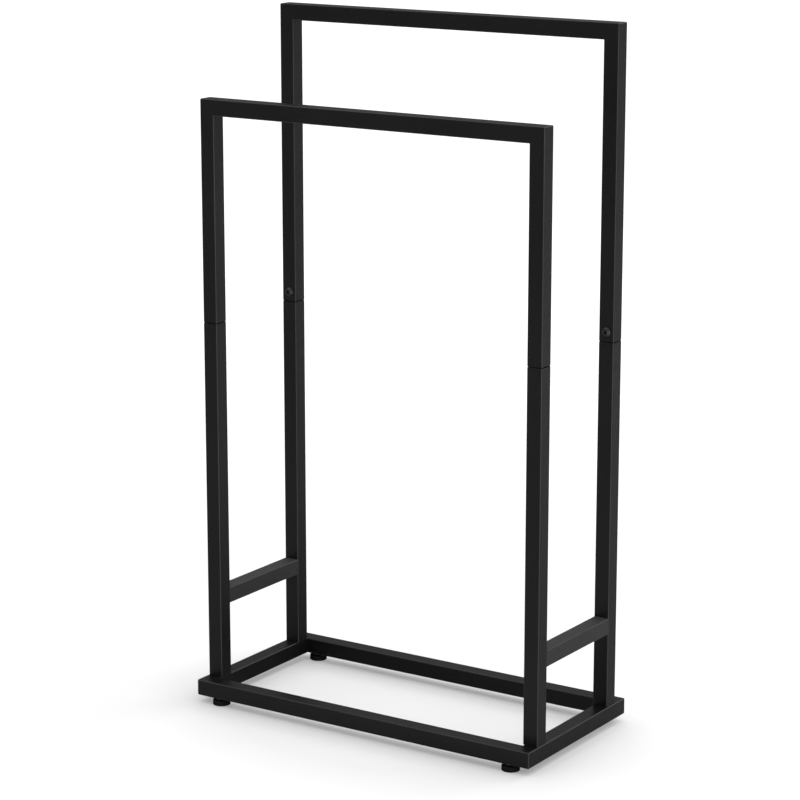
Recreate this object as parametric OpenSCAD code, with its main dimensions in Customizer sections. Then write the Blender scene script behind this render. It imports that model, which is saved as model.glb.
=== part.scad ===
// Free-standing two-tier towel rack in square steel tube.
// Origin: centre of the footprint, on the floor. +Z up, front towards -Y.

/* [Overall] */
// Outer width of the base ring, left to right
base_w = 480; // [400:5:620]
// Outer depth of the base ring, front to back
base_d = 231; // [210:1:300]
// Height of the front towel bar's top face above the floor
front_h = 753; // [640:1:800]
// Height of the back towel bar's top face above the floor
back_h = 854; // [740:1:950]
// Height of the side rails' underside above the floor
rail_z = 121.5; // [80:0.5:240]
// Height of the joint between lower and upper posts above the floor
seam_z = 480; // [360:1:560]

/* [Tube] */
// Outside size of the square tube
tube = 20; // [19:0.5:25]
// Wall thickness of the tube
wall = 1; // [0.8:0.1:1.2]
// Outside corner radius of the tube
corner_r = 1.5; // [1.3:0.1:2.5]

/* [Posts] */
// Distance from the base's end face to a post's outer face
post_inset_x = 1.5; // [0:0.5:4]
// Distance from the base's front or back face to the nearest face of a post
post_inset_y = 22.5; // [22:0.5:34]

/* [Post connectors] */
// Length of the connector held in the lower post
plug_len = 40; // [30:1:60]
// Length of the connector that stands up into the upper post
spigot_len = 36; // [28:1:60]
// Thickness of the connector's lip between the two posts
lip = 0.8; // [0.4:0.1:1]
// How far the lip's edge stays inside the tube's faces
lip_inset = 0.6; // [0.3:0.1:0.8]
// Play on each side between the spigot and the upper post
spigot_play = 0.1; // [0.05:0.05:0.3]
// Wall thickness of the connector
connector_wall = 1.5; // [1.2:0.1:2.5]

/* [Joint screws] */
// Height of a joint screw above the seam
screw_up = 12; // [9:0.5:20]
// Diameter of the button head
screw_head_d = 11.5; // [10.5:0.5:12.5]
// Height of the button head
screw_head_h = 3.3; // [3:0.1:3.6]
// Thread diameter of the joint screws and base bolts
screw_d = 6; // [5:1:6]
// Length of a joint screw under its head
screw_len = 10; // [9:0.5:12]
// Width across the flats of the hex socket
socket_af = 4; // [3:0.5:4]

/* [Base bolts] */
// Length of a base bolt under its head
bolt_len = 8; // [6:0.5:12]
// Thickness of the nut plate in a post's lower end
nut_plate_t = 5; // [4:0.5:8]
// Diameter of the key access hole under each base bolt
access_d = 13; // [12:0.5:14]

/* [Feet] */
// Distance from the base's end face to a foot's centre
foot_inset = 30; // [22:0.5:45]
// Diameter of a foot pad
pad_d = 22; // [20:0.5:28]
// Height of a foot pad
pad_h = 7; // [6.5:0.5:9]
// Clear height between a foot pad and the base ring with the foot screwed right in
pad_gap = 2; // [1.6:0.1:4]
// Diameter of the foot's threaded stud
stud_d = 8; // [6:1:8]
// Radial running clearance of the stud in its insert and in its pad
run_play = 0.05; // [0.02:0.01:0.1]

/* [Hidden] */
$fn = 48;

coat = [0.08, 0.08, 0.085];
steel = [0.62, 0.63, 0.65];
plastic = [0.05, 0.05, 0.05];

hw = base_w / 2;
hd = base_d / 2;
foot_h = pad_h + pad_gap;              // underside of the base ring
base_top = foot_h + tube;
px = hw - post_inset_x - tube / 2;     // post axis, left-right
py = hd - post_inset_y - tube / 2;     // post axis, front-back
inner_r = max(corner_r - wall, 0.3);
bore = tube - 2 * wall;                // inside size of the tube
low_top = seam_z - lip / 2;
up_bottom = seam_z + lip / 2;
screw_z = seam_z + screw_up;
spigot = bore - 2 * spigot_play;
conn_hole = bore - 2 * connector_wall; // inside size of the connector
screw_face = py - tube / 2;            // the inward face that a joint screw's head sits on
fx = hw - foot_inset;
fy = hd - tube / 2;
cut = 1;

// Square with exact round corners
module rsq(s, r) {
    square([s - 2 * r, s], center = true);
    square([s, s - 2 * r], center = true);
    for (x = [-1, 1], y = [-1, 1]) translate([x * (s / 2 - r), y * (s / 2 - r)]) circle(r = r);
}

// Rectangle from (x0, y0) to (x1, y1) whose corners listed in k are rounded:
// k = [low-left, low-right, high-right, high-left], 1 is round, 0 is square
module rrect(x0, y0, x1, y1, r, k) {
    translate([x0 + r, y0]) square([x1 - x0 - 2 * r, y1 - y0]);
    translate([x0, y0 + r]) square([x1 - x0, y1 - y0 - 2 * r]);
    c = [[x0, y0, 0, 0], [x1, y0, -1, 0], [x1, y1, -1, -1], [x0, y1, 0, -1]];
    for (i = [0:3])
        if (k[i] == 1)
            translate([c[i][0] + (c[i][2] == 0 ? r : -r), c[i][1] + (c[i][3] == 0 ? r : -r)]) circle(r = r);
        else
            translate([c[i][0] + c[i][2] * r, c[i][1] + c[i][3] * r]) square([r, r]);
}

// Square tube, its axis along +Z from z0 to z1
module tube_z(z0, z1) {
    translate([0, 0, z0]) linear_extrude(z1 - z0) difference() {
        rsq(tube, corner_r);
        rsq(bore, inner_r);
    }
}

// Square tube along X between -l/2 and l/2, on its axis
module tube_x(l) { rotate([0, 90, 0]) tube_z(-l / 2, l / 2); }
// Square tube along Y between -l/2 and l/2, on its axis
module tube_y(l) { rotate([90, 0, 0]) tube_z(-l / 2, l / 2); }

// ---- Base ring: four mitred bars -------------------------------------

// Plan shape that one bar of the ring keeps: a mitred trapezium with the ring's own round corner
module ring_sector(long_x) {
    translate([0, 0, foot_h - cut]) linear_extrude(tube + 2 * cut) intersection() {
        rrect(-hw, -hd, hw, hd, corner_r, [1, 1, 1, 1]);
        if (long_x)
            polygon([[-hw, -hd], [hw, -hd], [hw - tube, -hd + tube], [-hw + tube, -hd + tube]]);
        else
            polygon([[-hw, -hd], [-hw + tube, -hd + tube], [-hw + tube, hd - tube], [-hw, hd]]);
    }
}

// Front bar; the two holes in its underside take the foot inserts
module front_bar_shape() {
    difference() {
        intersection() {
            translate([0, -hd + tube / 2, foot_h + tube / 2]) tube_x(base_w);
            ring_sector(true);
        }
        for (s = [-1, 1]) translate([s * fx, -fy, foot_h - cut]) cylinder(r = insert_r, h = wall + 2 * cut);
    }
}

// Left bar; two small holes in its top for the base bolts and a key hole under each
module left_bar_shape() {
    difference() {
        intersection() {
            translate([-hw + tube / 2, 0, foot_h + tube / 2]) tube_y(base_d);
            ring_sector(false);
        }
        for (s = [-1, 1]) translate([-px, s * py, 0]) {
            translate([0, 0, foot_h - cut]) cylinder(d = access_d, h = wall + 2 * cut);
            translate([0, 0, base_top - wall - cut]) cylinder(d = screw_d + 0.6, h = wall + 2 * cut);
        }
    }
}

insert_r = stud_d / 2 + 1.5;
insert_flange_r = insert_r + 1.9;
insert_flange_t = 1.2;
insert_len = 14;

module base_front_bar() { color(coat) front_bar_shape(); }
module base_back_bar() { color(coat) mirror([0, 1, 0]) front_bar_shape(); }
module base_left_bar() { color(coat) left_bar_shape(); }
module base_right_bar() { color(coat) mirror([1, 0, 0]) left_bar_shape(); }

// ---- Lower side frames ------------------------------------------------

module lower_post(sx, sy) {
    color(coat) translate([sx * px, sy * py, 0]) tube_z(base_top, low_top);
}
module front_left_lower_post() { lower_post(-1, -1); }
module front_right_lower_post() { lower_post(1, -1); }
module back_left_lower_post() { lower_post(-1, 1); }
module back_right_lower_post() { lower_post(1, 1); }

module side_rail(sx) {
    color(coat) translate([sx * px, 0, rail_z + tube / 2]) tube_y(2 * py - tube);
}
module left_side_rail() { side_rail(-1); }
module right_side_rail() { side_rail(1); }

// ---- Upper frames: an inverted U at the front and a taller one behind ---

// Face shape of the U from the seam to height h, with its two top corners round
module u_outline(h, part) {
    xo = px + tube / 2;
    xi = px - tube / 2;
    intersection() {
        rrect(-xo, up_bottom, xo, h, corner_r, [0, 0, 1, 1]);
        if (part == "post")
            polygon([[-xo, up_bottom], [-xi, up_bottom], [-xi, h - tube], [-xo, h]]);
        else
            polygon([[-xo, h], [-xi, h - tube], [xi, h - tube], [xo, h]]);
    }
}
module u_mask(h, part, sy) {
    translate([0, sy * py + tube / 2 + cut, 0]) rotate([90, 0, 0])
        linear_extrude(tube + 2 * cut) u_outline(h, part);
}

// Left leg of a U; the hole in its inward face takes a joint screw
module upper_left_post(h, sy) {
    difference() {
        intersection() {
            translate([-px, sy * py, 0]) tube_z(up_bottom, h);
            u_mask(h, "post", sy);
        }
        translate([-px, sy * (screw_face - cut), screw_z]) rotate([-90 * sy, 0, 0])
            cylinder(d = screw_d + 0.6, h = wall + 2 * cut);
    }
}
module towel_bar(h, sy) {
    intersection() {
        translate([0, sy * py, h - tube / 2]) tube_x(2 * px + tube);
        u_mask(h, "bar", sy);
    }
}
module front_left_upper_post() { color(coat) upper_left_post(front_h, -1); }
module front_right_upper_post() { color(coat) mirror([1, 0, 0]) upper_left_post(front_h, -1); }
module back_left_upper_post() { color(coat) upper_left_post(back_h, 1); }
module back_right_upper_post() { color(coat) mirror([1, 0, 0]) upper_left_post(back_h, 1); }
module front_towel_bar() { color(coat) towel_bar(front_h, -1); }
module back_towel_bar() { color(coat) towel_bar(back_h, 1); }

// ---- Connectors: fixed in the lower post, pushed into the upper one -----

module connector(sx, sy) {
    color(steel) translate([sx * px, sy * py, 0]) difference() {
        union() {
            translate([0, 0, low_top - plug_len]) linear_extrude(plug_len) rsq(bore, inner_r);
            translate([0, 0, low_top]) linear_extrude(lip) rsq(tube - 2 * lip_inset, corner_r - lip_inset);
            translate([0, 0, up_bottom]) linear_extrude(spigot_len) rsq(spigot, inner_r);
        }
        translate([0, 0, low_top - plug_len - cut])
            linear_extrude(plug_len + lip + spigot_len + 2 * cut) rsq(conn_hole, inner_r);
        translate([0, -sy * spigot / 2 - sy * cut, screw_z]) rotate([-90 * sy, 0, 0])
            cylinder(d = screw_d + 0.4, h = connector_wall + 2 * cut);
    }
}
module front_left_connector() { connector(-1, -1); }
module front_right_connector() { connector(1, -1); }
module back_left_connector() { connector(-1, 1); }
module back_right_connector() { connector(1, 1); }

// ---- Fasteners ----------------------------------------------------------

// Places its children at the four joint screws, +Z into the post, z = 0 on the post's face
module at_screws() {
    for (sx = [-1, 1], sy = [-1, 1])
        translate([sx * px, sy * screw_face, screw_z]) rotate([-90 * sy, 0, 0]) children();
}
// Places its children at the four base bolts, +Z up, z = 0 on the inside of the bar's top wall
module at_bolts() {
    for (sx = [-1, 1], sy = [-1, 1]) translate([sx * px, sy * py, base_top - wall]) children();
}

// Hex-socket button-head screw: shank up +Z from z = 0, head below it
module button_screw(len) {
    cap_r = (pow(screw_head_d / 2, 2) + pow(screw_head_h - 0.5, 2)) / (2 * (screw_head_h - 0.5));
    difference() {
        union() {
            intersection() {
                translate([0, 0, cap_r - screw_head_h]) sphere(r = cap_r);
                translate([0, 0, -screw_head_h - cut]) cylinder(d = screw_head_d, h = screw_head_h + cut - 0.5);
            }
            translate([0, 0, -0.5]) cylinder(d = screw_head_d, h = 0.5);
            translate([0, 0, -0.5]) cylinder(r = screw_d / 2 - 0.02, h = len + 0.5);
        }
        translate([0, 0, -screw_head_h - cut]) cylinder(r = socket_af / sqrt(3), h = 2.2 + cut, $fn = 6);
    }
}

// Nut pressed into the connector's wall: barrel behind the wall with the thread through it
module connector_nut() {
    z0 = wall + spigot_play + connector_wall;
    translate([0, 0, z0]) difference() {
        cylinder(d = 9, h = 5.5);
        translate([0, 0, -cut]) cylinder(r = screw_d / 2, h = 5.5 + 2 * cut);
    }
}
module connector_nuts() { color(steel) at_screws() connector_nut(); }
module joint_screws() { color(coat) at_screws() button_screw(screw_len); }

// Threaded plate that closes each post's lower end
module post_nut_plates() {
    color(steel) at_bolts() translate([0, 0, wall]) difference() {
        linear_extrude(nut_plate_t) rsq(bore, inner_r);
        translate([0, 0, -cut]) cylinder(r = screw_d / 2, h = nut_plate_t + 2 * cut);
    }
}
module base_bolts() { color(steel) at_bolts() button_screw(bolt_len); }

// ---- Levelling feet -------------------------------------------------------

// Threaded insert: flange under the bar, barrel inside it
module foot_inserts() {
    color(steel) for (sx = [-1, 1], sy = [-1, 1]) translate([sx * fx, sy * fy, foot_h]) difference() {
        union() {
            translate([0, 0, -insert_flange_t]) cylinder(r = insert_flange_r, h = insert_flange_t);
            cylinder(r = insert_r, h = insert_len);
        }
        translate([0, 0, -insert_flange_t - cut]) cylinder(r = stud_d / 2 + run_play, h = insert_len + insert_flange_t + 2 * cut);
    }
}

stud_disc_r = stud_d / 2 + 2.5;
stud_disc_z = 2;
stud_disc_t = 2;
stud_top = foot_h + tube - wall - 1.5;
pad_edge = 1;

// Pad with a pocket that holds the stud's disc and lets it turn
module foot_pad(sx, sy) {
    color(plastic) translate([sx * fx, sy * fy, 0]) difference() {
        rotate_extrude() {
            square([pad_d / 2 - pad_edge, pad_h]);
            translate([0, 0.6]) square([pad_d / 2, pad_h - pad_edge - 0.6]);
            polygon([[pad_d / 2 - pad_edge - 0.01, 0], [pad_d / 2 - 0.6, 0], [pad_d / 2, 0.6], [pad_d / 2 - pad_edge - 0.01, 0.6]]);
            intersection() {
                translate([pad_d / 2 - pad_edge, pad_h - pad_edge]) circle(r = pad_edge);
                translate([pad_d / 2 - pad_edge, pad_h - pad_edge]) square([pad_edge, pad_edge]);
            }
        }
        translate([0, 0, stud_disc_z - 0.1]) cylinder(r = stud_disc_r + run_play, h = stud_disc_t + 0.2);
        translate([0, 0, stud_disc_z]) cylinder(r = stud_d / 2 + run_play, h = pad_h);
    }
}
module front_left_foot_pad() { foot_pad(-1, -1); }
module front_right_foot_pad() { foot_pad(1, -1); }
module back_left_foot_pad() { foot_pad(-1, 1); }
module back_right_foot_pad() { foot_pad(1, 1); }

// Stud with the disc that turns in the pad
module foot_stud(sx, sy) {
    color(steel) translate([sx * fx, sy * fy, 0]) {
        translate([0, 0, stud_disc_z]) cylinder(r = stud_disc_r, h = stud_disc_t);
        translate([0, 0, stud_disc_z]) cylinder(r = stud_d / 2, h = stud_top - stud_disc_z);
    }
}
module front_left_foot_stud() { foot_stud(-1, -1); }
module front_right_foot_stud() { foot_stud(1, -1); }
module back_left_foot_stud() { foot_stud(-1, 1); }
module back_right_foot_stud() { foot_stud(1, 1); }

base_front_bar();
base_back_bar();
base_left_bar();
base_right_bar();
front_left_lower_post();
front_right_lower_post();
back_left_lower_post();
back_right_lower_post();
left_side_rail();
right_side_rail();
front_left_upper_post();
front_right_upper_post();
front_towel_bar();
back_left_upper_post();
back_right_upper_post();
back_towel_bar();
front_left_connector();
front_right_connector();
back_left_connector();
back_right_connector();
connector_nuts();
joint_screws();
post_nut_plates();
base_bolts();
foot_inserts();
front_left_foot_pad();
front_right_foot_pad();
back_left_foot_pad();
back_right_foot_pad();
front_left_foot_stud();
front_right_foot_stud();
back_left_foot_stud();
back_right_foot_stud();
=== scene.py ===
import math
import bpy
import bmesh
from mathutils import Matrix, Vector


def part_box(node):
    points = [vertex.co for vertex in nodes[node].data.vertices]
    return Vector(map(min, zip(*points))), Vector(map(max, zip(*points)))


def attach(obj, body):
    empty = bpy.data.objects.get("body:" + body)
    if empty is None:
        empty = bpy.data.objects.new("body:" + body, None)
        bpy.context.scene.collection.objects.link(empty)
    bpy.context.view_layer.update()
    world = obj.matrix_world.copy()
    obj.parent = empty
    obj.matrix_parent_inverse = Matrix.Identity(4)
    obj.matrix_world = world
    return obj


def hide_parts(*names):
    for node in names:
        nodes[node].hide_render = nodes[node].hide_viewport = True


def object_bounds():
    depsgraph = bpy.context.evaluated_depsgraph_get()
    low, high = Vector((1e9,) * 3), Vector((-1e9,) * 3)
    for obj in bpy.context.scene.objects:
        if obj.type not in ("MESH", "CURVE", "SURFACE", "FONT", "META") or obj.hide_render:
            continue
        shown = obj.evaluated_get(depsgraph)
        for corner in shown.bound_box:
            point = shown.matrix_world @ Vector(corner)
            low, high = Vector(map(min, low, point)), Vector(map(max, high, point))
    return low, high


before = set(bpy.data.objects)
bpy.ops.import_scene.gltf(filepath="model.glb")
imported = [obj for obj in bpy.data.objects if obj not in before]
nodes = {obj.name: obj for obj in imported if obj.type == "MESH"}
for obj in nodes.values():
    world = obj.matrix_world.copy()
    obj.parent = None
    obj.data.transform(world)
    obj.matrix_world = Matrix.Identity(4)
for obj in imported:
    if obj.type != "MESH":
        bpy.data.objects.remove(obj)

cad_lo, cad_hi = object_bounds()
MM = 0.001
scene = bpy.context.scene


# ---------------------------------------------------------------- sizes, all read from the frame
def size_of(n):
    a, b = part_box(n)
    return a, b, b - a


b_lo, b_hi, b_d = size_of("left_side_rail")
TUBE = b_d.z                                    # side of the square tube
R = 0.0015                                      # outside corner radius of the tube
WALL = 0.001
R_IN = 0.0005
base_lo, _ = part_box("base_front_bar")
HW = cad_hi.x                                   # half width of the base ring
HD = -base_lo.y                                 # half depth of the base ring
FOOT = base_lo.z                                # underside of the base ring
BASE_TOP = FOOT + TUBE


# ---------------------------------------------------------------- materials
def new_mat(name):
    m = bpy.data.materials.new(name)
    m.use_nodes = True
    nt = m.node_tree
    nt.nodes.clear()
    out = nt.nodes.new("ShaderNodeOutputMaterial")
    bsdf = nt.nodes.new("ShaderNodeBsdfPrincipled")
    nt.links.new(bsdf.outputs["BSDF"], out.inputs["Surface"])
    tc = nt.nodes.new("ShaderNodeTexCoord")
    return m, nt, bsdf, tc.outputs["Object"]


def noise(nt, vec, scale, detail=2.0, rough=0.5, distort=0.0):
    n = nt.nodes.new("ShaderNodeTexNoise")
    n.inputs["Scale"].default_value = scale
    n.inputs["Detail"].default_value = detail
    n.inputs["Roughness"].default_value = rough
    n.inputs["Distortion"].default_value = distort
    nt.links.new(vec, n.inputs["Vector"])
    return n.outputs["Fac"]


def stretch(nt, vec, sx, sy, sz):
    n = nt.nodes.new("ShaderNodeMapping")
    n.inputs["Scale"].default_value = (sx, sy, sz)
    nt.links.new(vec, n.inputs["Vector"])
    return n.outputs["Vector"]


def ramp(nt, fac, stops):
    n = nt.nodes.new("ShaderNodeValToRGB")
    els = n.color_ramp.elements
    while len(els) < len(stops):
        els.new(0.5)
    for e, (p, c) in zip(els, stops):
        e.position = p
        e.color = (c[0], c[1], c[2], 1.0) if isinstance(c, (tuple, list)) else (c, c, c, 1.0)
    nt.links.new(fac, n.inputs["Fac"])
    return n.outputs["Color"]


def to_range(nt, fac, a, b, lo=0.0, hi=1.0):
    n = nt.nodes.new("ShaderNodeMapRange")
    n.inputs["From Min"].default_value = lo
    n.inputs["From Max"].default_value = hi
    n.inputs["To Min"].default_value = a
    n.inputs["To Max"].default_value = b
    nt.links.new(fac, n.inputs["Value"])
    return n.outputs["Result"]


def bump(nt, height, strength, distance, normal=None):
    n = nt.nodes.new("ShaderNodeBump")
    n.inputs["Strength"].default_value = strength
    n.inputs["Distance"].default_value = distance
    nt.links.new(height, n.inputs["Height"])
    if normal is not None:
        nt.links.new(normal, n.inputs["Normal"])
    return n.outputs["Normal"]


def mix_col(nt, fac, a, b):
    n = nt.nodes.new("ShaderNodeMix")
    n.data_type = "RGBA"
    nt.links.new(fac, n.inputs[0])
    nt.links.new(a, n.inputs[6])
    nt.links.new(b, n.inputs[7])
    return n.outputs[2]


def edge_mask(nt):
    """0 on the flats and 1 on the rounded corners, from the surface's own direction."""
    g = nt.nodes.new("ShaderNodeNewGeometry")
    ab = nt.nodes.new("ShaderNodeVectorMath")
    ab.operation = "ABSOLUTE"
    nt.links.new(g.outputs["True Normal"], ab.inputs[0])
    sp = nt.nodes.new("ShaderNodeSeparateXYZ")
    nt.links.new(ab.outputs["Vector"], sp.inputs["Vector"])
    big = sp.outputs["X"]
    for k in ("Y", "Z"):
        n = nt.nodes.new("ShaderNodeMath")
        n.operation = "MAXIMUM"
        nt.links.new(big, n.inputs[0])
        nt.links.new(sp.outputs[k], n.inputs[1])
        big = n.outputs["Value"]
    return to_range(nt, big, 1.0, 0.0, 0.84, 0.985)


# painted highlight: the tone of the tube's rounded corners, paler than the coat, for the light the edges catch
EDGE_HIGHLIGHT = 0.034


def powder_coat(name, lo, hi, pale, sheen=0.0, rough=(0.29, 0.39), spec=0.5):
    """Satin black powder coat: fine orange peel, a slow waviness of the steel, a little dust, uneven gloss, and a
    painted highlight on the rounded corners.
    """
    m, nt, p, v = new_mat(name)
    broad = noise(nt, v, 9.0, 3.0, 0.55)
    fine = noise(nt, v, 420.0, 3.0, 0.6)
    dust = noise(nt, v, 1500.0, 2.0, 0.7)
    base = ramp(nt, broad, [(0.30, (lo, lo, lo * 1.06)), (0.72, (hi, hi, hi * 1.04))])
    speck = ramp(nt, dust, [(0.63, (0.0, 0.0, 0.0)), (0.80, (1.0, 1.0, 1.0))])
    grey = ramp(nt, fine, [(0.0, (pale, pale, pale * 1.04)), (1.0, (pale * 1.5, pale * 1.5, pale * 1.55))])
    edge_highlight = ramp(nt, broad, [(0.25, (EDGE_HIGHLIGHT * 0.8,) * 3), (0.75, (EDGE_HIGHLIGHT * 1.2,) * 3)])     # painted highlight: the rounded corners are paler, standing in for the light the edges catch
    nt.links.new(mix_col(nt, edge_mask(nt), mix_col(nt, speck, base, grey), edge_highlight), p.inputs["Base Color"])
    nt.links.new(to_range(nt, noise(nt, v, 55.0, 4.0, 0.6), rough[0], rough[1], 0.25, 0.75), p.inputs["Roughness"])
    p.inputs["Specular IOR Level"].default_value = spec
    p.inputs["IOR"].default_value = 1.5
    p.inputs["Sheen Weight"].default_value = sheen
    p.inputs["Sheen Roughness"].default_value = 0.45
    peel = bump(nt, noise(nt, v, 900.0, 2.0, 0.5), 0.30, 0.00010)
    peel = bump(nt, noise(nt, v, 390.0, 1.0, 0.5), 0.32, 0.00022, peel)
    wave = bump(nt, noise(nt, v, 60.0, 1.0, 0.5), 0.20, 0.00025, peel)
    nt.links.new(wave, p.inputs["Normal"])
    return m


def black_oxide(name, lo, hi, rough, metal=0.85, spec=0.5):
    """Black-oxide steel: darker and shinier than the tube, with rubbed brown-grey patches."""
    m, nt, p, v = new_mat(name)
    n1 = noise(nt, v, 900.0, 4.0, 0.6)
    nt.links.new(ramp(nt, n1, [(0.35, (lo, lo, lo * 1.04)), (0.75, (hi, hi * 0.98, hi * 0.95))]), p.inputs["Base Color"])
    p.inputs["Metallic"].default_value = metal
    p.inputs["Specular IOR Level"].default_value = spec
    nt.links.new(to_range(nt, noise(nt, v, 2600.0, 3.0, 0.6), rough[0], rough[1], 0.3, 0.7), p.inputs["Roughness"])
    nt.links.new(bump(nt, noise(nt, v, 3200.0, 2.0, 0.5), 0.25, 0.00003), p.inputs["Normal"])
    return m


def zinc():
    """Bright zinc plate: pale, slightly blue, with fine streaks and duller patches."""
    m, nt, p, v = new_mat("zinc_plated_steel")
    cloud = noise(nt, v, 260.0, 4.0, 0.6)
    nt.links.new(ramp(nt, cloud, [(0.28, (0.42, 0.43, 0.46)), (0.55, (0.56, 0.57, 0.60)), (0.78, (0.66, 0.66, 0.64))]), p.inputs["Base Color"])
    p.inputs["Metallic"].default_value = 1.0
    nt.links.new(to_range(nt, noise(nt, v, 900.0, 3.0, 0.6), 0.26, 0.48, 0.25, 0.75), p.inputs["Roughness"])
    streak = noise(nt, stretch(nt, v, 1.0, 1.0, 0.12), 2400.0, 2.0, 0.6)
    nt.links.new(bump(nt, streak, 0.30, 0.00004), p.inputs["Normal"])
    return m


def foot_plastic():
    """Black moulded plastic with a fine spark-eroded grain and scuffs near the floor."""
    m, nt, p, v = new_mat("foot_moulded_plastic")
    grain = noise(nt, v, 2600.0, 3.0, 0.6)
    scuff = noise(nt, stretch(nt, v, 1.0, 1.0, 6.0), 240.0, 4.0, 0.65)
    dark = ramp(nt, grain, [(0.3, (0.0045, 0.0045, 0.0045)), (0.7, (0.0075, 0.0075, 0.0075))])
    pale = ramp(nt, grain, [(0.3, (0.014, 0.014, 0.0135)), (0.7, (0.022, 0.022, 0.021))])
    mask = ramp(nt, scuff, [(0.62, (0.0, 0.0, 0.0)), (0.78, (0.8, 0.8, 0.8))])
    nt.links.new(mix_col(nt, mask, dark, pale), p.inputs["Base Color"])
    nt.links.new(to_range(nt, grain, 0.50, 0.66, 0.3, 0.7), p.inputs["Roughness"])
    p.inputs["Specular IOR Level"].default_value = 0.15
    nt.links.new(bump(nt, grain, 0.45, 0.00006), p.inputs["Normal"])
    return m


COAT = powder_coat("powder_coat_satin", 0.0034, 0.0050, 0.012)
COAT_RAIL = powder_coat("powder_coat_rails", 0.0080, 0.0115, 0.022, 0.11, (0.47, 0.57))      # the rails' coat is a shade greyer and duller
COAT_SEAM_SHADE = powder_coat("powder_coat_connectors_seam_shade", 0.0014, 0.0022, 0.004, 0.0, (0.65, 0.80), 0.08)      # painted shade: the inner connectors get a darker, matt copy of the coat, so the seam between the posts reads as shade
OXIDE = black_oxide("black_oxide_steel", 0.070, 0.125, (0.22, 0.34))
# painted shade: a much darker, duller copy of the oxide for the inside of the hex socket, standing in for the shade in
# the recess
OXIDE_SOCKET_SHADE = black_oxide("black_oxide_socket_shade", 0.006, 0.014, (0.35, 0.50), 0.3, 0.25)
ZINC, PLASTIC = zinc(), foot_plastic()


# ---------------------------------------------------------------- mesh helpers
def make_obj(name, verts, faces, mat, sharp_deg=40.0):
    me = bpy.data.meshes.new(name)
    me.from_pydata([tuple(v) for v in verts], [], faces)
    me.validate()
    bm = bmesh.new()
    bm.from_mesh(me)
    bmesh.ops.remove_doubles(bm, verts=bm.verts, dist=1e-7)
    bmesh.ops.recalc_face_normals(bm, faces=bm.faces)
    lim = math.radians(sharp_deg)
    for f in bm.faces:
        f.smooth = True
    for e in bm.edges:
        e.smooth = e.is_manifold and e.calc_face_angle(0.0) < lim
    bm.to_mesh(me)
    bm.free()
    me.materials.append(mat)
    o = bpy.data.objects.new(name, me)
    scene.collection.objects.link(o)
    return o


def section(side, r, n):
    """Rounded square, counter-clockwise, n steps in each corner."""
    h = side / 2 - r
    pts = []
    for k, (cx, cy) in enumerate(((h, h), (-h, h), (-h, -h), (h, -h))):
        for i in range(n + 1):
            a = math.pi / 2 * (k + i / n)
            pts.append((cx + r * math.cos(a), cy + r * math.sin(a)))
    return pts


def end_rings(sec, kind, out, length, steps=6):
    """Rings from the body towards one end, as lists of (s, a, b), s measured outwards from the tube's middle.
    kind mitre: the end is cut at 45 degrees and its outer corner, towards out, is rounded like the tube.
    kind square: the end is cut square, with its outer rim eased by the number out."""
    rings = []
    if kind == "mitre":
        for k in range(steps + 1):
            th = math.pi / 4 * k / steps
            ring = []
            for a, b in sec:
                d = a * out[0] + b * out[1]
                u = TUBE / 2 - d
                if u < R - 1e-9:
                    s = length - R + (R - u) * math.sin(th)
                    shift = (R - (R - u) * math.cos(th)) - u
                    a2, b2 = a - out[0] * shift, b - out[1] * shift
                else:
                    s = length - u - (steps - k) * 0.00012
                    a2, b2 = a, b
                ring.append((s, a2, b2))
            rings.append(ring)
    else:
        e = out
        for k in range(4):
            th = math.pi / 2 * k / 3
            f = e * (1 - math.cos(th))
            s = length - e + e * math.sin(th)
            ring = []
            for a, b in sec:
                m = max(abs(a), abs(b), 1e-9)
                ring.append((s, a * (1 - f / m), b * (1 - f / m)))
            rings.append(ring)
    return rings


def tube(name, centre, axis, u, v, ends, mat=None, n=8, holes=()):
    """Hollow square tube. ends = ((length, kind, out) at -axis, (length, kind, out) at +axis)."""
    A, U, V, C = Vector(axis), Vector(u), Vector(v), Vector(centre)
    outer, inner = section(TUBE, R, n), section(TUBE - 2 * WALL, R_IN, n)
    verts, faces = [], []

    def put(ring, sign):
        i0 = len(verts)
        for s, a, b in ring:
            verts.append(C + A * (s * sign) + U * a + V * b)
        return i0

    def bridge(i0, i1, m, flip=False):
        for k in range(m):
            q = (i0 + k, i0 + (k + 1) % m, i1 + (k + 1) % m, i1 + k)
            faces.append(q[::-1] if flip else q)

    m = len(outer)
    loops = {}
    for key, sec in (("o", outer), ("i", inner)):
        chain = []
        for sign, (ln, kind, out) in zip((-1, 1), ends):
            rings = end_rings(sec, kind, out if (key == "o" or kind == "mitre") else 0.0, ln)
            if kind == "square" and key == "i":
                rings = rings[-1:]
            ids = [put(rg, sign) for rg in rings]
            chain = ids[::-1] + chain if sign < 0 else chain + ids
        for i0, i1 in zip(chain, chain[1:]):
            bridge(i0, i1, m, key == "i")
        loops[key] = chain
    bridge(loops["i"][0], loops["o"][0], m)
    bridge(loops["o"][-1], loops["i"][-1], m)
    o = make_obj(name, verts, faces, mat or COAT)
    for pos, ax, rad, depth in holes:
        drill(o, pos, ax, rad, depth)
    wn = o.modifiers.new("true_flats", "WEIGHTED_NORMAL")       # the wide faces stay flat to their edges
    wn.mode, wn.weight, wn.keep_sharp = "FACE_AREA", 100, True
    return o


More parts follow.
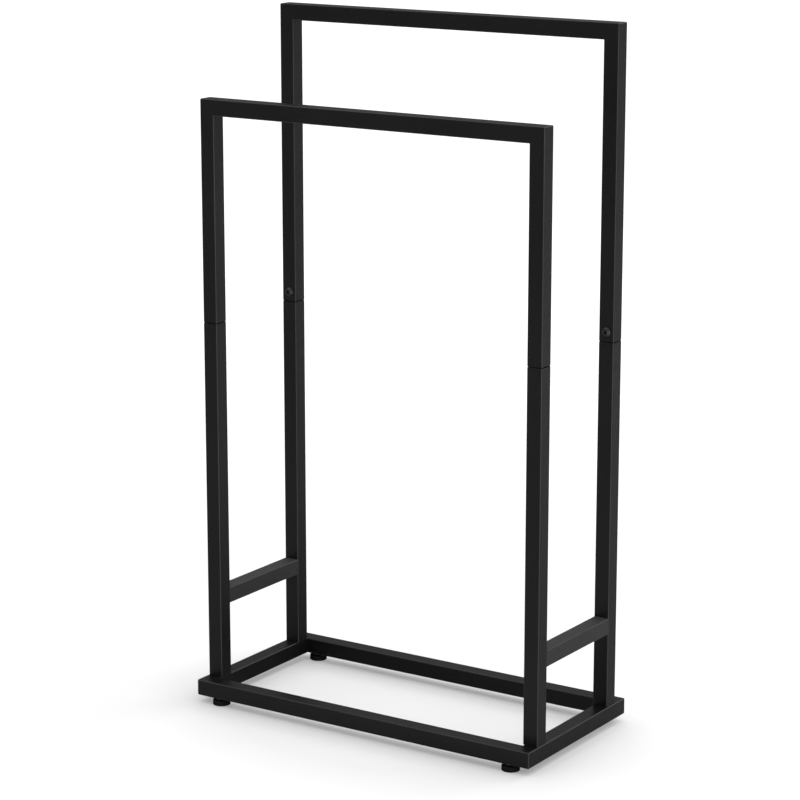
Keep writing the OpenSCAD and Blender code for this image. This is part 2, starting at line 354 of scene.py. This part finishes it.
def drill(o, pos, ax, rad, depth):
    """Cuts a round hole, from pos along ax, and applies it."""
    bm = bmesh.new()
    bmesh.ops.create_cone(bm, cap_ends=True, segments=40, radius1=rad, radius2=rad, depth=depth)
    rot = Vector((0, 0, 1)).rotation_difference(Vector(ax)).to_matrix().to_4x4()
    bmesh.ops.transform(bm, matrix=Matrix.Translation(Vector(pos)) @ rot @ Matrix.Translation((0, 0, depth / 2)), verts=bm.verts)
    me = bpy.data.meshes.new("cutter")
    bm.to_mesh(me)
    bm.free()
    c = bpy.data.objects.new("cutter", me)
    scene.collection.objects.link(c)
    mod = o.modifiers.new("hole", "BOOLEAN")
    mod.operation, mod.solver, mod.object = "DIFFERENCE", "EXACT", c
    dg = bpy.context.evaluated_depsgraph_get()
    done = bpy.data.meshes.new_from_object(o.evaluated_get(dg))
    o.modifiers.clear()
    old = o.data
    o.data = done
    bpy.data.meshes.remove(old)
    bpy.data.objects.remove(c)
    bpy.data.meshes.remove(me)
    bm = bmesh.new()
    bm.from_mesh(o.data)
    for f in bm.faces:
        f.smooth = True
    for e in bm.edges:
        e.smooth = e.is_manifold and e.calc_face_angle(0.0) < math.radians(40)
    bm.to_mesh(o.data)
    bm.free()


def lathe(name, profile, mat, n=64, sharp=35.0, close=True):
    """Closed body of revolution about Z. profile is (r, z) round the section; points with r = 0 are on the axis."""
    verts, faces, ids = [], [], []
    for r, z in profile:
        if r < 1e-9:
            ids.append([len(verts)])
            verts.append((0.0, 0.0, z))
        else:
            ids.append(list(range(len(verts), len(verts) + n)))
            for k in range(n):
                a = 2 * math.pi * k / n
                verts.append((r * math.cos(a), r * math.sin(a), z))
    pairs = list(zip(ids, ids[1:]))
    if close and not (len(ids[0]) == 1 and len(ids[-1]) == 1):
        pairs.append((ids[-1], ids[0]))
    for p, q in pairs:
        for k in range(n):
            k2 = (k + 1) % n
            if len(p) == 1 and len(q) == 1:
                continue
            if len(p) == 1:
                faces.append((p[0], q[k2], q[k]))
            elif len(q) == 1:
                faces.append((p[k], p[k2], q[0]))
            else:
                faces.append((p[k], p[k2], q[k2], q[k]))
    return make_obj(name, verts, faces, mat, sharp)


def arc(cx, cz, r, a0, a1, n):
    return [(cx + r * math.cos(math.radians(a0 + (a1 - a0) * i / n)), cz + r * math.sin(math.radians(a0 + (a1 - a0) * i / n))) for i in range(n + 1)]


def thread_rings(r_out, pitch, z0, z1, n=48, per=8, chamfer=True):
    """Rings of a right-hand thread from z0 to z1; the ends run out to the root."""
    depth = 0.58 * pitch
    cnt = max(2, int(round((z1 - z0) / pitch * per)))
    rings = []
    for i in range(cnt + 1):
        z = z0 + (z1 - z0) * i / cnt
        edge = min((z - z0) / (0.8 * pitch), (z1 - z) / (0.8 * pitch), 1.0) if chamfer else 1.0
        ring = []
        for k in range(n):
            ph = ((z / pitch) - k / n) % 1.0
            t = abs(ph * 2 - 1)                       # 1 at the crest, 0 at the root
            t = min(max((t - 0.12) / 0.72, 0.0), 1.0)
            r = r_out - depth * (1 - t * max(edge, 0.0))
            a = 2 * math.pi * k / n
            ring.append((r * math.cos(a), r * math.sin(a), z))
        rings.append(ring)
    return rings


def grid_faces(ids):
    out = []
    for p, q in zip(ids, ids[1:]):
        n = len(p)
        for k in range(n):
            out.append((p[k], p[(k + 1) % n], q[(k + 1) % n], q[k]))
    return out


def place(o, origin, ax, body):
    """Turns a piece built along +Z so that +Z points along ax, at origin, and makes it ride."""
    rot = Vector((0, 0, 1)).rotation_difference(Vector(ax)).to_matrix().to_4x4()
    o.data.transform(Matrix.Translation(Vector(origin)) @ rot)
    o.data.update()
    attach(o, body)
    return o


def button_screw(name, length, mat, head_d=0.0115, head_h=0.0033, af=0.004, d=0.006, pitch=0.001, recess=None):
    """Button-head screw with a hex socket: head below z = 0, thread up +Z."""
    n = 48
    verts, ids = [], []

    def add(ring):
        ids.append(list(range(len(verts), len(verts) + len(ring))))
        verts.extend(ring)

    def circle(r, z):
        return [(r * math.cos(2 * math.pi * k / n), r * math.sin(2 * math.pi * k / n), z) for k in range(n)]

    def hexring(apothem, z):
        ring = []
        for k in range(n):
            a = 2 * math.pi * k / n
            loc = (a + math.pi / 6) % (math.pi / 3) - math.pi / 6
            r = apothem / math.cos(loc)
            ring.append((r * math.cos(a), r * math.sin(a), z))
        return ring

    ap = af / 2
    rim = 0.0005
    top = -head_h
    cap = ((head_d / 2) ** 2 + (head_h - rim) ** 2) / (2 * (head_h - rim))
    floor_z = top + 0.0022
    add(hexring(ap * 0.30, floor_z + 0.00055))
    add(hexring(ap * 0.97, floor_z))
    add(hexring(ap, floor_z - 0.00012))
    add(hexring(ap, top + 0.00040))
    add(circle(ap * 1.1547 + 0.00022, top + 0.00004))
    add(circle(ap * 1.1547 + 0.00042, top))
    r0 = ap * 1.1547 + 0.00042
    for i in range(1, 15):
        r = r0 + (head_d / 2 - 0.0001 - r0) * math.sin(math.pi / 2 * i / 14)
        z = top + cap - math.sqrt(max(cap * cap - r * r, 0.0))
        add(circle(r, min(z, -rim)))
    add(circle(head_d / 2, -rim + 0.0001))
    add(circle(head_d / 2, -0.00015))
    add(circle(head_d / 2 - 0.00015, 0.0))
    add(circle(d / 2 + 0.0001, 0.0))
    for ring in thread_rings(d / 2 - 0.00002, pitch, 0.0004, length, n):
        add(ring)
    faces = grid_faces(ids)
    tip = len(verts)
    verts.append((0, 0, length))
    last = ids[-1]
    faces += [(last[k], last[(k + 1) % n], tip) for k in range(n)]
    c = len(verts)
    verts.append((0, 0, floor_z + 0.00075))
    first = ids[0]
    faces += [(first[(k + 1) % n], first[k], c) for k in range(n)]
    o = make_obj(name, verts, faces, mat, 32.0)
    if recess is not None:                              # the inside of the socket gets the darker oxide, painted shade in the recess
        o.data.materials.append(recess)
        for p in o.data.polygons:
            c = p.center
            if math.hypot(c.x, c.y) < ap * 1.16 and top + 0.0003 < c.z < -0.0002:
                p.material_index = 1
    return o


# ---------------------------------------------------------------- the tubes
ft_lo, ft_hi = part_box("front_towel_bar")
bt_lo, bt_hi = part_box("back_towel_bar")
fl_lo, fl_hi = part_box("front_left_lower_post")
PX = -(fl_lo.x + fl_hi.x) / 2
PY = -(fl_lo.y + fl_hi.y) / 2
LOW_TOP = fl_hi.z
fu_lo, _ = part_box("front_left_upper_post")
UP_BOT = fu_lo.z
scr_lo, scr_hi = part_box("joint_screws")
SCREW_Z = (scr_lo.z + scr_hi.z) / 2
ins_lo, ins_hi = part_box("foot_inserts")
pad_lo, pad_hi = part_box("front_left_foot_pad")
FX = -(pad_lo.x + pad_hi.x) / 2
FY = -(pad_lo.y + pad_hi.y) / 2
EASE = 0.00018
SHADOW_GAP = 0.00025                            # each tube end stops this much short of the connector's lip
X, Y, Z = (1, 0, 0), (0, 1, 0), (0, 0, 1)
zc = FOOT + TUBE / 2
made = []


def keep(o, *cad):
    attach(o, "frame")
    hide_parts(*cad)
    made.append(o)
    return o


# base ring, with the foot holes, key holes and bolt holes
for sy, nm in ((-1, "front"), (1, "back")):
    holes = [((sx * FX, sy * FY, FOOT - 0.001), Z, 0.0055, WALL + 0.0015) for sx in (-1, 1)]
    keep(tube(f"base_{nm}_tube", (0, sy * (HD - TUBE / 2), zc), X, Y, Z,
              ((HW, "mitre", (sy, 0)), (HW, "mitre", (sy, 0))), holes=holes), f"base_{nm}_bar")
for sx, nm in ((-1, "left"), (1, "right")):
    holes = []
    for sy in (-1, 1):
        holes.append(((sx * PX, sy * PY, FOOT - 0.001), Z, 0.0065, WALL + 0.0015))
        holes.append(((sx * PX, sy * PY, BASE_TOP - WALL - 0.0005), Z, 0.0033, WALL + 0.001))
    keep(tube(f"base_{nm}_tube", (sx * (HW - TUBE / 2), 0, zc), Y, X, Z,
              ((HD, "mitre", (sx, 0)), (HD, "mitre", (sx, 0))), holes=holes), f"base_{nm}_bar")

# posts, rails and towel bars
for sx, side in ((-1, "left"), (1, "right")):
    for sy, end, bar_hi in ((-1, "front", ft_hi.z), (1, "back", bt_hi.z)):
        zm = (BASE_TOP + LOW_TOP - SHADOW_GAP) / 2
        half = (LOW_TOP - SHADOW_GAP - BASE_TOP) / 2
        keep(tube(f"{end}_{side}_lower_tube", (sx * PX, sy * PY, zm), Z, X, Y,
                  ((half, "square", EASE), (half, "square", EASE))), f"{end}_{side}_lower_post")
        zm = (UP_BOT + SHADOW_GAP + bar_hi) / 2
        half = (bar_hi - UP_BOT - SHADOW_GAP) / 2
        hole = ((sx * PX, sy * (PY - TUBE / 2 - 0.001), SCREW_Z), (0, sy, 0), 0.0033, WALL + 0.0015)
        keep(tube(f"{end}_{side}_upper_tube", (sx * PX, sy * PY, zm), Z, X, Y,
                  ((half, "square", EASE), (half, "mitre", (sx, 0))), holes=[hole]), f"{end}_{side}_upper_post")
    half = PY - TUBE / 2
    keep(tube(f"{side}_side_rail_tube", (sx * PX, 0, (b_lo.z + b_hi.z) / 2), Y, X, Z,
              ((half, "square", 0.0), (half, "square", 0.0)), COAT_RAIL), f"{side}_side_rail")
for sy, end, bar_hi in ((-1, "front", ft_hi.z), (1, "back", bt_hi.z)):
    keep(tube(f"{end}_towel_bar_tube", (0, sy * PY, bar_hi - TUBE / 2), X, Y, Z,
              ((PX + TUBE / 2, "mitre", (0, 1)), (PX + TUBE / 2, "mitre", (0, 1)))), f"{end}_towel_bar")


# ---------------------------------------------------------------- weld fills where a rail meets a post
def weld_fill(name, x, sx_out, sy, z0, z1):
    """Fills the groove between the rail's end and the post's rounded edge, flush, with a barely raised ripple."""
    n, m = 64, 6
    verts, faces = [], []
    yj = sy * (PY - TUBE / 2)
    for i in range(n + 1):
        t = i / n
        z = z0 + (z1 - z0) * t
        fade = min(1.0, min(t, 1 - t) * 12)
        rip = 0.00010 * fade * (0.6 + 0.4 * math.sin(t * 2 * math.pi * 11) + 0.2 * math.sin(t * 2 * math.pi * 23 + 1.3))
        ring = []
        for k in range(m + 1):                        # outer skin, from the rail to where the post's flat begins
            y = yj - sy * 0.0003 + sy * (R + 0.0004) * k / m
            lift = rip * math.sin(math.pi * k / m)
            ring.append(Vector((x + sx_out * lift, y, z)))
        for k in range(m + 1):                        # back along the post's rounded edge, just under its surface
            a = math.pi / 2 * k / m
            ring.append(Vector((x - sx_out * (R - (R - 0.00015) * math.cos(a)), yj + sy * (R - (R - 0.00015) * math.sin(a)), z)))
        ring.append(Vector((x - sx_out * 0.0008, yj - sy * 0.0003, z)))
        base = len(verts)
        verts.extend(ring)
        if i:
            w = len(ring)
            for k in range(w):
                faces.append((base - w + k, base - w + (k + 1) % w, base + (k + 1) % w, base + k))
    w = 2 * (m + 1) + 1
    faces.append(tuple(range(w))[::-1])
    faces.append(tuple(len(verts) - w + k for k in range(w)))
    o = make_obj(name, verts, faces, COAT_RAIL, 60.0)
    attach(o, "frame")
    return o


for sx, side in ((-1, "left"), (1, "right")):
    for sy, end in ((-1, "front"), (1, "back")):
        z0, z1 = b_lo.z + R * 0.55, b_hi.z - R * 0.55
        weld_fill(f"weld_{end}_{side}_outer", sx * (PX + TUBE / 2), sx, sy, z0, z1)
        weld_fill(f"weld_{end}_{side}_inner", sx * (PX - TUBE / 2), -sx, sy, z0, z1)

# ---------------------------------------------------------------- fasteners
for sx, side in ((-1, "left"), (1, "right")):
    for sy, end in ((-1, "front"), (1, "back")):
        o = button_screw(f"joint_screw_{end}_{side}", 0.010, OXIDE, recess=OXIDE_SOCKET_SHADE)
        o.data.transform(Matrix.Rotation(math.radians(11 + 17 * (sx + 2 * sy)), 4, "Z"))
        place(o, (sx * PX, sy * (PY - TUBE / 2), SCREW_Z), (0, sy, 0), "frame")
        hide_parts("joint_screws")
        o = button_screw(f"base_bolt_{end}_{side}", 0.008, ZINC)
        o.data.transform(Matrix.Rotation(math.radians(5 + 23 * (2 * sx + sy)), 4, "Z"))
        place(o, (sx * PX, sy * PY, BASE_TOP - WALL), Z, "frame")
        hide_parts("base_bolts")

# ---------------------------------------------------------------- feet
PAD_R = (pad_hi.x - pad_lo.x) / 2
PAD_H = pad_hi.z - pad_lo.z
st_lo, st_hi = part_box("front_left_foot_stud")


def insert_mesh(name):
    """Flanged threaded insert: eased flange under the bar, barrel with a crimp bulge inside it."""
    z0 = ins_lo.z
    zf = FOOT
    zt = ins_hi.z
    rf = 0.0074
    prof = [(0.00405, z0 + 0.0003), (0.0044, z0)]
    prof += [(rf - 0.0003, z0)] + arc(rf - 0.0003, z0 + 0.0003, 0.0003, -90, 0, 4)[1:]
    prof += [(rf, zf - 0.0001), (rf - 0.0001, zf), (0.0055, zf)]
    prof += [(0.0055, zf + WALL)]
    prof += [(0.0059, zf + 0.0016), (0.0060, zf + 0.0022), (0.0058, zf + 0.0028), (0.0054, zf + 0.0036)]
    prof += [(0.0054, zt - 0.0003), (0.0051, zt), (0.0045, zt), (0.00405, zt - 0.0004)]
    return lathe(name, prof, ZINC, 64, 30.0)


def pad_mesh(name):
    """Foot pad: slightly drafted wall, rounded shoulder, collar round the stud, gripping rings underneath."""
    r, h = PAD_R, PAD_H
    prof = [(0.0, 0.0019), (0.00655, 0.0019), (0.00655, 0.0041), (0.00405, 0.0041), (0.00405, h - 0.0003), (0.0043, h)]
    prof += [(0.0056, h), (0.0060, h - 0.0004), (0.0064, h - 0.0005)]
    prof += [(r - 0.0018, h - 0.0005)] + arc(r - 0.00135, h - 0.0017, 0.0012, 90, 10, 7)
    prof += [(r - 0.0001, 0.0030), (r, 0.0022), (r, 0.0009)] + arc(r - 0.0007, 0.0007, 0.0007, 0, -80, 5)
    rr = r - 0.0014
    ring = 0.0011
    while rr > 0.0030:                                # shallow grip rings in the sole
        prof += [(rr, 0.0), (rr - 0.00015, 0.00035), (rr - 0.00045, 0.00035), (rr - 0.0006, 0.0)]
        rr -= ring + 0.0006
    prof += [(0.0, 0.0)]
    return lathe(name, prof, PLASTIC, 72, 28.0)


def stud_mesh(name):
    """M8 stud: disc held in the pad, plain neck, thread, eased tip."""
    n = 48
    verts, ids = [], []

    def add(ring):
        ids.append(list(range(len(verts), len(verts) + len(ring))))
        verts.extend(ring)

    def circle(r, z):
        return [(r * math.cos(2 * math.pi * k / n), r * math.sin(2 * math.pi * k / n), z) for k in range(n)]

    zb, zt = st_lo.z, st_hi.z
    rd = (st_hi.x - st_lo.x) / 2
    add(circle(0.002, zb))
    add(circle(rd - 0.0002, zb))
    add(circle(rd, zb + 0.0002))
    add(circle(rd, zb + 0.0018))
    add(circle(rd - 0.0002, zb + 0.002))
    add(circle(0.0040, zb + 0.002))
    add(circle(0.0040, PAD_H - 0.0006))
    for ring in thread_rings(0.0040, 0.00125, PAD_H - 0.0004, zt - 0.0004, n):
        add(ring)
    add(circle(0.0028, zt))
    faces = grid_faces(ids)
    c = len(verts)
    verts.append((0, 0, zb))
    faces += [(ids[0][(k + 1) % n], ids[0][k], c) for k in range(n)]
    c = len(verts)
    verts.append((0, 0, zt))
    faces += [(ids[-1][k], ids[-1][(k + 1) % n], c) for k in range(n)]
    return make_obj(name, verts, faces, ZINC, 30.0)


for sx, side in ((-1, "left"), (1, "right")):
    for sy, end in ((-1, "front"), (1, "back")):
        c = f"{end}_{side}"
        at = (sx * FX, sy * FY, 0)
        o = place(insert_mesh(f"foot_insert_{c}"), at, Z, "frame")
        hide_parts("foot_inserts")
        o = place(pad_mesh(f"foot_pad_{c}"), at, Z, f"{c}_pad")
        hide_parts(f"{c}_foot_pad")
        o = place(stud_mesh(f"foot_stud_{c}"), at, Z, f"{c}_stud")
        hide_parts(f"{c}_foot_stud")

# CAD nodes that stay as they are, with the finished materials; the connectors' darker coat is painted shade for the
# seam
for n, mat in [(f"{a}_{b}_connector", COAT_SEAM_SHADE) for a in ("front", "back") for b in ("left", "right")] + [("connector_nuts", ZINC), ("post_nut_plates", ZINC)]:
    o = nodes[n]
    o.data.materials.clear()
    o.data.materials.append(mat)

# ---------------------------------------------------------------- stage
def radial(nt, r0, r1, centre=(0, 0, 0), semi=(1, 1, 1)):
    """0 inside r0 and 1 beyond r1, measured on the floor from centre in units of the semi-axes."""
    tc = nt.nodes.new("ShaderNodeTexCoord")
    mp = nt.nodes.new("ShaderNodeMapping")
    mp.inputs["Scale"].default_value = [1 / k for k in semi]
    mp.inputs["Location"].default_value = [-c / k for c, k in zip(centre, semi)]
    ln = nt.nodes.new("ShaderNodeVectorMath")
    ln.operation = "LENGTH"
    nt.links.new(tc.outputs["Object"], mp.inputs["Vector"])
    nt.links.new(mp.outputs["Vector"], ln.inputs[0])
    return to_range(nt, ln.outputs["Value"], 0.0, 1.0, r0, r1)


def along(nt, coord, axis, lo, hi):
    """0 at lo and 1 at hi, measured along axis."""
    tc = nt.nodes.new("ShaderNodeTexCoord")
    dp = nt.nodes.new("ShaderNodeVectorMath")
    dp.operation = "DOT_PRODUCT"
    dp.inputs[1].default_value = Vector(axis).normalized()
    nt.links.new(tc.outputs[coord], dp.inputs[0])
    return to_range(nt, dp.outputs["Value"], 0.0, 1.0, lo, hi)


def floor_material():
    """White floor, lit evenly. Glossy faces mirror a darker floor, paler towards the right, and past it the studio below."""
    m = bpy.data.materials.new("studio_floor")
    m.use_nodes = True
    nt = m.node_tree
    nt.nodes.clear()
    out = nt.nodes.new("ShaderNodeOutputMaterial")

    def both(kind, a, b, fac=None):
        n = nt.nodes.new(kind)
        first = 1 if kind == "ShaderNodeMixShader" else 0
        if fac is not None:
            nt.links.new(fac, n.inputs["Fac"])
        nt.links.new(a, n.inputs[first])
        nt.links.new(b, n.inputs[first + 1])
        return n.outputs["Shader"]

    seen = nt.nodes.new("ShaderNodeBsdfDiffuse")
    nt.links.new(ramp(nt, radial(nt, 0.6, 3.2), [(0.0, FLOOR_NEAR), (1.0, 0.90)]), seen.inputs["Color"])
    glow = nt.nodes.new("ShaderNodeEmission")
    nt.links.new(ramp(nt, radial(nt, 0.85, 1.30, (0, -0.03, 0), (0.27, 0.20, 1)), [(0.0, FLOOR_GLOW[0]), (1.0, FLOOR_GLOW[1])]), glow.inputs["Color"])
    glow.inputs["Strength"].default_value = 1.0
    dim = nt.nodes.new("ShaderNodeBsdfDiffuse")
    side = ramp(nt, along(nt, "Object", (1.0, 0.15, 0), -0.3, 1.7), FLOOR_DIM)
    front = ramp(nt, along(nt, "Object", (-0.3, -1.0, 0), 0.06, 0.17), [(0.0, 0.0), (1.0, FLOOR_FRONT)])
    sum2 = nt.nodes.new("ShaderNodeVectorMath")
    sum2.operation = "ADD"
    nt.links.new(side, sum2.inputs[0])
    nt.links.new(front, sum2.inputs[1])
    nt.links.new(sum2.outputs["Vector"], dim.inputs["Color"])
    clear = nt.nodes.new("ShaderNodeBsdfTransparent")
    lp = nt.nodes.new("ShaderNodeLightPath")
    plain = both("ShaderNodeAddShader", seen.outputs["BSDF"], glow.outputs["Emission"])
    mirrored = both("ShaderNodeAddShader", dim.outputs["BSDF"], clear.outputs["BSDF"])
    upper = both("ShaderNodeMixShader", plain, mirrored, lp.outputs["Is Glossy Ray"])
    geo = nt.nodes.new("ShaderNodeNewGeometry")         # seen from underneath, the floor is clear
    nt.links.new(both("ShaderNodeMixShader", upper, clear.outputs["BSDF"], geo.outputs["Backfacing"]), out.inputs["Surface"])
    return m


FLOOR_NEAR = 0.61
FLOOR_GLOW = (0.165, 0.265)
FLOOR_DIM = [(0.0, 0.05), (0.20, 0.11), (0.29, 0.20), (0.52, 0.20), (0.78, 0.26), (1.0, 0.30)]
FLOOR_FRONT = 0.14
SKY = ((0.0, 0.08), (0.25, 0.10), (0.42, 0.20), (0.72, 0.33), (1.0, 0.45))
EDGE_LOBES = (((0.84, -0.49, -0.22), 20, 8, 0.9), ((-0.49, -0.22, 0.84), 26, 10, 0.7), ((0.22, 0.84, 0.49), 19, 8, 0.8))

bpy.ops.mesh.primitive_plane_add(size=80, location=(0, 0, -0.00005))
floor = bpy.context.object
floor.name = "studio_floor"
floor.data.materials.append(floor_material())

world = bpy.data.worlds.new("studio")
scene.world = world
world.use_nodes = True
wn = world.node_tree
wn.nodes.clear()
wo = wn.nodes.new("ShaderNodeOutputWorld")
white = wn.nodes.new("ShaderNodeBackground")
white.inputs["Color"].default_value = (1, 1, 1, 1)
white.inputs["Strength"].default_value = 1.0
soft = wn.nodes.new("ShaderNodeBackground")
soft.inputs["Strength"].default_value = 1.0


def math_node(nt, op, a, b):
    n = nt.nodes.new("ShaderNodeMath")
    n.operation = op
    for k, x in enumerate((a, b)):
        if isinstance(x, (int, float)):
            n.inputs[k].default_value = x
        else:
            nt.links.new(x, n.inputs[k])
    return n.outputs["Value"]


# what the glossy faces mirror: a soft gradient above the floor, and two soft boxes that pick out the rounded edges
sky = ramp(wn, along(wn, "Generated", (0.90, 0.25, 0.30), -1.0, 1.0), SKY)
total = math_node(wn, "MULTIPLY", sky, along(wn, "Generated", (0, 0, 1), -0.03, 0.03))
for d, wide, core, power in EDGE_LOBES:
    lobe = along(wn, "Generated", d, math.cos(math.radians(wide)), math.cos(math.radians(core)))
    total = math_node(wn, "ADD", total, math_node(wn, "MULTIPLY", lobe, power))
wn.links.new(total, soft.inputs["Color"])
lpw = wn.nodes.new("ShaderNodeLightPath")
mxw = wn.nodes.new("ShaderNodeMixShader")
wn.links.new(lpw.outputs["Is Glossy Ray"], mxw.inputs["Fac"])
wn.links.new(white.outputs["Background"], mxw.inputs[1])
wn.links.new(soft.outputs["Background"], mxw.inputs[2])
wn.links.new(mxw.outputs["Shader"], wo.inputs["Surface"])


def area(name, pos, target, size, power):
    d = bpy.data.lights.new(name, "AREA")
    d.shape = "RECTANGLE"
    d.size, d.size_y = size
    d.energy = power
    o = bpy.data.objects.new(name, d)
    o.location = pos
    o.rotation_euler = (Vector(target) - Vector(pos)).to_track_quat("-Z", "Y").to_euler()
    o.visible_camera = False
    o.visible_glossy = False
    scene.collection.objects.link(o)
    return o


area("back", (0.70, 2.40, 2.00), (0, 0, 0.1), (2.0, 1.2), 22)
area("right", (2.4, 0.1, 1.5), (0, 0, 0.4), (1.2, 1.4), 7)
area("top", (0.0, 0.2, 2.6), (0, 0, 0), (2.0, 2.0), 15)

# ---------------------------------------------------------------- camera
cam_d = bpy.data.cameras.new("camera")
cam = bpy.data.objects.new("camera", cam_d)
scene.collection.objects.link(cam)
F_PX, YAW, PITCH = 2757.93, -0.5792, 0.2296
POS = Vector((4.1731 * 0.48 - 0.24, -5.4179 * 0.48 - 0.1155, 2.3813 * 0.48 + 0.009))
fw = Vector((math.sin(YAW) * math.cos(PITCH), math.cos(YAW) * math.cos(PITCH), -math.sin(PITCH)))
rt = Vector((math.cos(YAW), -math.sin(YAW), 0))
up = rt.cross(fw)
rot = Matrix((rt, up, -fw)).transposed()
cam.matrix_world = Matrix.Translation(POS) @ rot.to_4x4()
cam_d.sensor_width = 36.0
cam_d.lens = F_PX / 800 * 36.0
cam_d.clip_start, cam_d.clip_end = 0.05, 60
scene.camera = cam
scene.view_settings.view_transform = "Standard"
scene.view_settings.look = "None"
